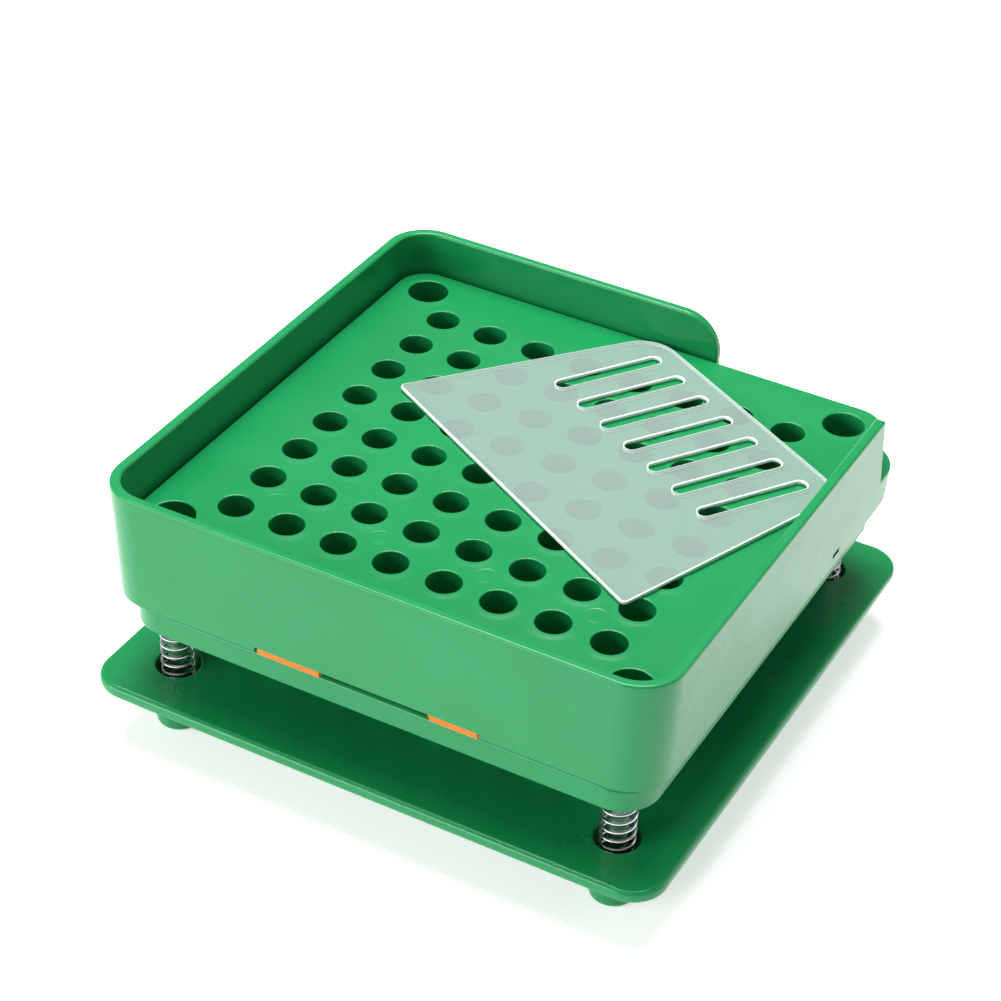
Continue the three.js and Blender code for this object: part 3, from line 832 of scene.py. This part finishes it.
SHEET_HALF, SHEET_BACK, SHEET_NOTCH = 50.0, 49.0, 47.9  # its corners are notched for the posts
SHEET_TRAVEL = 1.8
SHEET_HOLE_R = 4.1
TONGUE_HALF, TAB_END, RECESS_END = 26.0, 63.8, 61.8


def lock_sheet():
    """The orange sheet, with the two tabs that show in the front notch."""
    half, back, corner, travel = SHEET_HALF, SHEET_BACK, SHEET_NOTCH, SHEET_TRAVEL
    tongue, tab, recess = TONGUE_HALF, TAB_END, RECESS_END
    outline = [
        (corner, back, 0.5), (-corner, back, 0.5), (-corner, corner, 0.5), (-half, corner, 0.5),
        (-half, travel - corner, 0.5), (-corner, travel - corner, 0.5), (-corner, -half, 0.5),
        (-tongue, -half, 0.5), (-tongue, -tab, 0.5), (-11, -tab, 0.3), (-11, -recess, 0.3),
        (13, -recess, 0.3), (15, -tab, 0.3), (tongue, -tab, 0.5), (tongue, -half, 0.5),
        (corner, -half, 0.5), (corner, travel - corner, 0.5), (half, travel - corner, 0.5),
        (half, corner, 0.5), (corner, corner, 0.5),
    ]
    holes = [circle(x, y, SHEET_HOLE_R, 36) for x, y in GRID]
    shell = plate_with_holes(rounded(outline, 4), holes, SHEET_BOTTOM, SHEET_TOP, 0.12)
    piece = place("lock_sheet_plate", shell.mesh("lock_sheet_plate"))
    finish_piece(piece, "lock", ORANGE, ["lock_sheet"])


SCRAPER_LENGTH, SCRAPER_DEPTH, SCRAPER_LEAN = 91.0, 63.0, 9.0
SCRAPER_CORNER, SCRAPER_TIP = 8.5, 1.2
SCRAPER_AT, SCRAPER_TURN = (-37.8, 13.2), -30.0
SLOTS, SLOT_LENGTH, SLOT_WIDTH, SLOT_PITCH = 7, 26.8, 3.1, 9.31
SLOT_MIDDLE, SLOT_TURN = 44.6, 86.0
SCRAPER_EDGE = 0.3
UPRIGHT = 0.97  # a face whose normal is closer to Z than this is the flat of the sheet


def slot_outline(x, y):
    """One slot with round ends, turned about its middle."""
    half = (SLOT_LENGTH - SLOT_WIDTH) / 2
    turn = math.radians(SLOT_TURN)
    points = []
    for end in (1, -1):
        base = turn if end > 0 else turn + math.pi
        for k in range(13):
            a = base + (k / 12 * 2 - 1) * math.pi / 2
            points.append((
                x + end * half * math.cos(turn) + SLOT_WIDTH / 2 * math.cos(a),
                y + end * half * math.sin(turn) + SLOT_WIDTH / 2 * math.sin(a),
            ))
    return points


def scraper():
    """The slotted scraper, lying turned on the hole plate."""
    inset = SCRAPER_DEPTH * math.tan(math.radians(SCRAPER_LEAN))
    outline = rounded([
        (0, 0, SCRAPER_TIP), (SCRAPER_LENGTH, 0, SCRAPER_TIP),
        (SCRAPER_LENGTH - inset, SCRAPER_DEPTH, SCRAPER_CORNER), (inset, SCRAPER_DEPTH, SCRAPER_CORNER),
    ], 10)
    along = [SCRAPER_LENGTH / 2 + (k - (SLOTS - 1) / 2) * SLOT_PITCH for k in range(SLOTS)]
    slots = [slot_outline(x, SLOT_MIDDLE) for x in along]
    shell = plate_with_holes(outline, slots, SCRAPER_BOTTOM, SCRAPER_TOP, SCRAPER_EDGE)
    data = shell.mesh("scraper_blade")
    turn = Matrix.Rotation(math.radians(SCRAPER_TURN), 4, "Z")
    data.transform(Matrix.Translation((SCRAPER_AT[0] * MM, SCRAPER_AT[1] * MM, 0)) @ turn)
    data.materials.append(FROSTED_FACE)
    data.materials.append(FROSTED_EDGE)
    for face in data.polygons:
        face.material_index = 1 if abs(face.normal.z) < UPRIGHT else 0
    piece = place("scraper_blade", data)
    finish_piece(piece, "spreader", None, ["scraper"])


# ---- Posts, springs and screws -------------------------------------------------------------

def turned_shell(x, y, profile, spokes=36):
    """A turned shape from (radius, level) points, closed by a deck at each end."""
    shell = Shell()
    first, last = shell.tower([(circle(x, y, radius, spokes), z) for radius, z in profile])
    shell.deck(first)
    shell.deck(last)
    return shell


POST_R, TAPPED_R = 2.25, 1.8


def guide_post(corner):
    """A smooth post, tapped at its top."""
    x, y = POSTS[corner]
    low, high = level(f"guide_post_{corner}")
    radius, tapped = POST_R, TAPPED_R
    shell = turned_shell(x, y, [
        (radius - 0.3, low), (radius, low + 0.3), (radius, high - 0.25), (radius - 0.08, high - 0.07),
        (radius - 0.25, high), (tapped, high), (tapped - 0.15, high - 0.3), (tapped - 0.15, high - 6.0),
        (0.2, high - 6.6),
    ])
    piece = place(f"post_{corner}", shell.mesh(f"post_{corner}"))
    finish_piece(piece, "base", STEEL, [f"guide_post_{corner}"])


def stop_washer(corner):
    """The washer under a stop screw's head."""
    x, y = POSTS[corner]
    low, high = level(f"stop_washer_{corner}")
    ring = [
        (1.95, low), (3.95, low), (4.1, low + 0.15), (4.1, high - 0.15), (3.95, high),
        (2.05, high), (1.95, high - 0.1),
    ]
    shell = Shell()
    loops = [shell.loop(circle(x, y, radius, 40), z) for radius, z in ring]
    for first, second in zip(loops, loops[1:] + loops[:1]):
        shell.bridge(first, second)
    piece = place(f"washer_{corner}", shell.mesh(f"washer_{corner}"))
    finish_piece(piece, "base", STEEL, [f"stop_washer_{corner}"])


def screw_shell(x, y, seat, size, up):
    """A pan head screw with a hexagon socket, its head above its seat, or below if up is -1."""
    head, height, shank, length = size
    outside = [
        (shank - 0.35, -length), (shank, -length + 0.4), (shank, 0.0), (head - 0.1, 0.0), (head, 0.1),
        (head, height * 0.55), (head * 0.96, height * 0.75), (head * 0.86, height * 0.92),
        (head * 0.72, height),
    ]
    shell = Shell()
    tip, crown = shell.tower([(circle(x, y, radius, 36), seat + up * z) for radius, z in outside])
    socket = head * 0.42
    rim, floor = shell.tower([
        (hexagon(x, y, socket + 0.1), seat + up * height),
        (hexagon(x, y, socket), seat + up * (height - 0.1)),
        (hexagon(x, y, socket), seat + up * height * 0.4),
    ])
    shell.deck(tip)
    shell.bridge(crown, rim)
    shell.deck(floor)
    return shell


def stop_screw(corner):
    """The screw in the top of a post."""
    x, y = POSTS[corner]
    low, high = level(f"stop_screw_{corner}")
    height = 2.2
    shell = screw_shell(x, y, high - height, (3.1, height, 1.5, high - height - low), 1)
    piece = place(f"stopper_{corner}", shell.mesh(f"stopper_{corner}"))
    finish_piece(piece, "base", STEEL, [f"stop_screw_{corner}"])


def clamp_screw(corner):
    """A screw, head down, that holds the lower plate to the hole plate."""
    x, y = CLAMPS[corner]
    low, high = level(f"clamp_screw_{corner}")
    height = 1.6
    shell = screw_shell(x, y, low + height, (2.8, height, 1.4, high - low - height), -1)
    piece = place(f"clamp_{corner}", shell.mesh(f"clamp_{corner}"))
    finish_piece(piece, "tray", STEEL, [f"clamp_screw_{corner}"])


COIL_R, WIRE_R, OPEN_COILS, CLOSED_COILS = 3.55, 0.31, 10.0, 1.3
WIRE_SIDES, STEPS_PER_TURN = 10, 40


def coil_point(turn, bottom, top):
    """The wire's middle after so many turns: closed coils at both ends, open ones between."""
    closed_rise = 2 * WIRE_R + 0.05
    open_rise = (top - bottom - 2 * CLOSED_COILS * closed_rise) / OPEN_COILS
    low = min(turn, CLOSED_COILS) * closed_rise
    middle_part = min(max(turn - CLOSED_COILS, 0), OPEN_COILS) * open_rise
    high = max(turn - CLOSED_COILS - OPEN_COILS, 0) * closed_rise
    angle = 2 * math.pi * turn
    return Vector((COIL_R * math.cos(angle), COIL_R * math.sin(angle), bottom + low + middle_part + high))


def coil_shell(x, y, bottom, top):
    """Round wire along a coil between two levels, capped at both ends."""
    turns = OPEN_COILS + 2 * CLOSED_COILS
    steps = int(turns * STEPS_PER_TURN)
    path = [coil_point(turns * k / steps, bottom, top) for k in range(steps + 1)]
    shell = Shell()
    rings = []
    for k, at in enumerate(path):
        along = (path[min(k + 1, steps)] - path[max(k - 1, 0)]).normalized()
        outwards = Vector((at.x, at.y, 0)).normalized()
        across = along.cross(outwards).normalized()
        outwards = across.cross(along)
        ring = []
        for j in range(WIRE_SIDES):
            a = 2 * math.pi * j / WIRE_SIDES
            ring.append(len(shell.points))
            point = at + (outwards * math.cos(a) + across * math.sin(a)) * WIRE_R
            shell.points.append((point.x + x, point.y + y, point.z))
        rings.append(ring)
    for first, second in zip(rings, rings[1:]):
        shell.bridge(first, second)
    shell.faces.append(tuple(rings[0]))
    shell.faces.append(tuple(rings[-1]))
    return shell


def spring(corner):
    """A compression spring: round wire coiled between the levels of its CAD node, with closed coils at
    both ends.
    """
    x, y = POSTS[corner]
    low, high = level(f"spring_{corner}")
    shell = coil_shell(x, y, low + WIRE_R, high - WIRE_R)
    piece = place(f"coil_{corner}", shell.mesh(f"coil_{corner}"))
    finish_piece(piece, "base", WIRE, [f"spring_{corner}"], weighted=False)
    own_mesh(piece)


# ---- Floor, light and camera ---------------------------------------------------------------

FLOOR_REACH = 4.0
FLOOR_LEVEL = -0.00005  # a hair under the feet, so that no two faces share a plane
WORLD_STRENGTH = 0.34
FLOOR_GLOW = 0.52  # makes the floor as white as a lit table


def floor():
    """The plain pale floor."""
    data = bpy.data.meshes.new("studio_floor")
    reach, under = FLOOR_REACH, FLOOR_LEVEL
    data.from_pydata(
        [(-reach, -reach, under), (reach, -reach, under), (reach, reach, under), (-reach, reach, under)],
        [], [(0, 1, 2, 3)],
    )
    paint = Paint("studio_floor")
    paint.colour(paint.blend(paint.noise(3, 2.0), (0.69, 0.69, 0.69), (0.73, 0.73, 0.73)))
    paint.set(Roughness=0.7, Specular_IOR_Level=0.2)
    paint.set(Emission_Color=(1, 1, 1, 1), Emission_Strength=FLOOR_GLOW)
    data.materials.append(paint.material)
    piece = place("studio_floor", data)


LIGHT_AIM = Vector((0, 0, 0.03))


def softbox(name, at, size, watts):
    """A large rectangular area light that faces the object."""
    lamp = bpy.data.lights.new(name, "AREA")
    lamp.shape = "RECTANGLE"
    lamp.size, lamp.size_y = size
    lamp.energy = watts
    light = bpy.data.objects.new(name, lamp)
    light.location = at
    light.rotation_euler = (LIGHT_AIM - Vector(at)).to_track_quat("-Z", "Y").to_euler()
    bpy.context.scene.collection.objects.link(light)


def studio():
    """Even white surroundings and four soft lights."""
    world = bpy.data.worlds.new("studio")
    world.use_nodes = True
    background = world.node_tree.nodes["Background"]
    background.inputs["Color"].default_value = (1.0, 1.0, 1.0, 1.0)
    background.inputs["Strength"].default_value = WORLD_STRENGTH
    bpy.context.scene.world = world
    softbox("front_left_softbox", (-0.65, -0.95, 0.36), (1.0, 0.5), 15.0)
    softbox("top_softbox", (-0.22, 0.22, 1.25), (0.8, 0.8), 30.0)
    softbox("back_strip", (-0.32, 0.62, 1.16), (0.4, 0.25), 1.5)
    softbox("right_softbox", (0.90, 0.60, 0.50), (0.6, 0.6), 2.0)
    bpy.context.scene.view_settings.view_transform = "Standard"
    bpy.context.scene.view_settings.look = "None"


CAMERA_AT = Vector((0.2127, -0.4259, 0.3837))
CAMERA_AIM = Vector((0.00226, -0.0126, 0.0548))
CAMERA_ROLL = math.radians(2.88)
CAMERA_LENS, CAMERA_FILM = 96.89, 36.0  # in millimetres


def camera():
    """The camera, rolled a little about its own line of sight."""
    lens = bpy.data.cameras.new("camera")
    lens.lens = CAMERA_LENS
    lens.sensor_width = CAMERA_FILM
    lens.clip_start = 0.01
    lens.clip_end = 50.0
    eye = bpy.data.objects.new("camera", lens)
    ahead = (CAMERA_AIM - CAMERA_AT).normalized()
    right = ahead.cross(Vector((0, 0, 1))).normalized()
    up = right.cross(ahead)
    rolled_right = right * math.cos(CAMERA_ROLL) + up * math.sin(CAMERA_ROLL)
    rolled_up = up * math.cos(CAMERA_ROLL) - right * math.sin(CAMERA_ROLL)
    turn = Matrix((rolled_right, rolled_up, -ahead)).transposed().to_4x4()
    eye.matrix_world = Matrix.Translation(CAMERA_AT) @ turn
    bpy.context.scene.collection.objects.link(eye)
    bpy.context.scene.camera = eye


# ---- The whole scene -----------------------------------------------------------------------

base_plate()
lower_plate()
hole_plate()
guard_frame()
lock_sheet()
scraper()
for corner_name in CORNERS:
    guide_post(corner_name)
    stop_washer(corner_name)
    stop_screw(corner_name)
    spring(corner_name)
    clamp_screw(corner_name)
floor()
studio()
camera()

bpy.context.view_layer.update()
